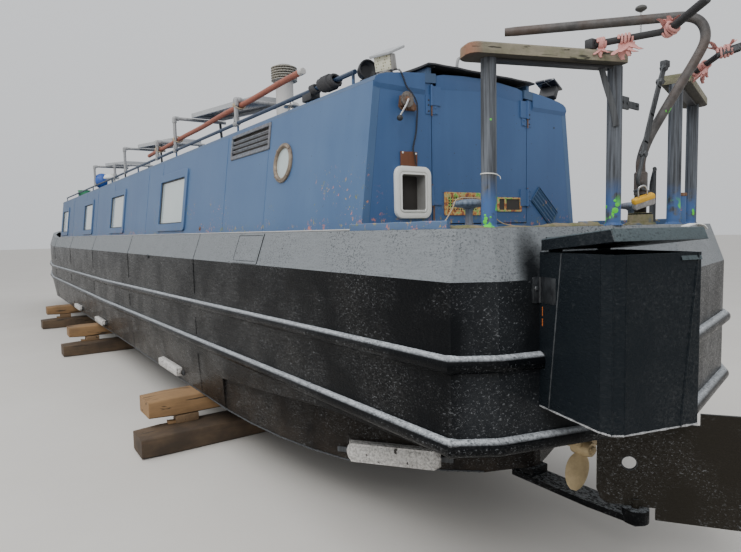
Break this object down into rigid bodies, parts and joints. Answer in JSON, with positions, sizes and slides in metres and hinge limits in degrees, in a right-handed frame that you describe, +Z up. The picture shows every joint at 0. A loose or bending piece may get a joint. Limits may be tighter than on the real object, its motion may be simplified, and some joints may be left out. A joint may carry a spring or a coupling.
{
  "type": "narrowboat",
  "caption": "Steel narrowboat ashore on timber stacks, with a long cabin, swan-neck tiller, rudder, propeller, doors, sliding hatch, taffrail seats and a stern locker.",
  "frame": {"origin": "on the ground under the middle of the boat's bounding box", "axes": "+X towards the bow, +Y to port, +Z up"},
  "size_m": [16.8778, 3.08, 3.02],
  "materials": {
    "blacking": "glossy bitumen paint with a rough, brushed surface",
    "cabin_blue": "faded satin paint with rust specks",
    "roof_blue": "faded satin paint",
    "dark_steel": "worn paint over steel",
    "grey_steel": "dull, weathered",
    "deck": "mossy, dirty paint",
    "timber": "sawn, stained baulks",
    "weathered_wood": "grey, weathered boards",
    "bronze": "dull tan bronze",
    "ring_brass": "tarnished",
    "glass": "clear, a little dirty",
    "engine_paint": "oily paint",
    "pole_red": "flaking red-brown paint",
    "black_foam": "matt foam sleeve",
    "galvanised": "dull galvanised tube and pale framed panels",
    "white_plastic": "moulded white plastic, slightly yellowed",
    "rope_tan": "thin weathered rope"
  },
  "bodies": {
    "hull": {"hull_stern": "blacking", "hull_side_port": "blacking", "hull_side_starboard": "blacking", "hull_floor": "blacking", "hull_bow": "blacking", "skeg": "blacking", "rear_deck": "deck", "engine": "engine_paint", "cabin_side_port": "cabin_blue", "cabin_side_starboard": "cabin_blue", "window_port_1": "glass", "window_port_2": "glass", "window_port_3": "glass", "window_port_4": "glass", "window_starboard_1": "glass", "window_starboard_2": "glass", "window_starboard_3": "glass", "window_starboard_4": "glass", "porthole_port": "ring_brass", "porthole_starboard": "ring_brass", "louvre_port": "grey_steel", "louvre_starboard": "grey_steel", "roof": "roof_blue", "aft_bulkhead": "cabin_blue", "fore_bulkhead": "cabin_blue", "stern_locker": "blacking", "taffrail_port": "dark_steel", "taffrail_starboard": "dark_steel", "seat_plank_port": "weathered_wood", "seat_plank_starboard": "weathered_wood", "padded_arm_port": "black_foam", "padded_arm_starboard": "black_foam", "timber_stack_1": "timber", "timber_stack_2": "timber", "timber_stack_3": "timber", "chimney": "grey_steel", "roof_pole": "pole_red", "mooring_stud_port": "dark_steel", "mooring_stud_starboard": "dark_steel", "cat_flap": "white_plastic", "deck_line": "rope_tan", "hand_winch": "grey_steel", "lamp_port": "galvanised", "lamp_spot": "black_foam", "lamp_starboard": "black_foam", "loose_cover": "cabin_blue", "roof_panel_1": "galvanised", "roof_panel_2": "galvanised", "roof_panel_3": "galvanised", "vent_bright": "grey_steel", "vent_white": "white_plastic"},
    "hatch": {"sliding_hatch": "dark_steel"},
    "aft_port_door": {"aft_door_port": "cabin_blue"},
    "aft_starboard_door": {"aft_door_starboard": "cabin_blue"},
    "fore_port_door": {"fore_door_port": "cabin_blue"},
    "fore_starboard_door": {"fore_door_starboard": "cabin_blue"},
    "lid": {"locker_lid": "blacking"},
    "helm": {"rudder": "blacking", "tiller": "dark_steel"},
    "screw": {"propeller": "bronze"}
  },
  "joints": [
    {"name": "rudder_turn", "type": "hinge", "parent": "hull", "child": "helm", "pos_m": [-7.88, 0, 0.8], "axis": [0, 0, 1], "range_deg": [-80, 5]},
    {"name": "propeller_spin", "type": "hinge", "parent": "hull", "child": "screw", "pos_m": [-7.6, 0, 0.57], "axis": [1, 0, 0], "continuous": true},
    {"name": "hatch_slide", "type": "slide", "parent": "hull", "child": "hatch", "axis": [1, 0, 0], "range_m": [0, 0.7]},
    {"name": "aft_port_door_hinge", "type": "hinge", "parent": "hull", "child": "aft_port_door", "pos_m": [-6.913, 0.392, 1.8], "axis": [0, 0, 1], "range_deg": [-85, 0]},
    {"name": "aft_starboard_door_hinge", "type": "hinge", "parent": "hull", "child": "aft_starboard_door", "pos_m": [-6.913, -0.392, 1.8], "axis": [0, 0, 1], "range_deg": [0, 85]},
    {"name": "fore_port_door_hinge", "type": "hinge", "parent": "hull", "child": "fore_port_door", "pos_m": [5.318, 0.392, 1.8], "axis": [0, 0, 1], "range_deg": [0, 110]},
    {"name": "fore_starboard_door_hinge", "type": "hinge", "parent": "hull", "child": "fore_starboard_door", "pos_m": [5.318, -0.392, 1.8], "axis": [0, 0, 1], "range_deg": [-110, 0]},
    {"name": "locker_lid_hinge", "type": "hinge", "parent": "hull", "child": "lid", "pos_m": [-7.95826, 0.53919, 1.645], "axis": [0.2609, 0.9654, 0], "range_deg": [-3.5, 100]}
  ]
}
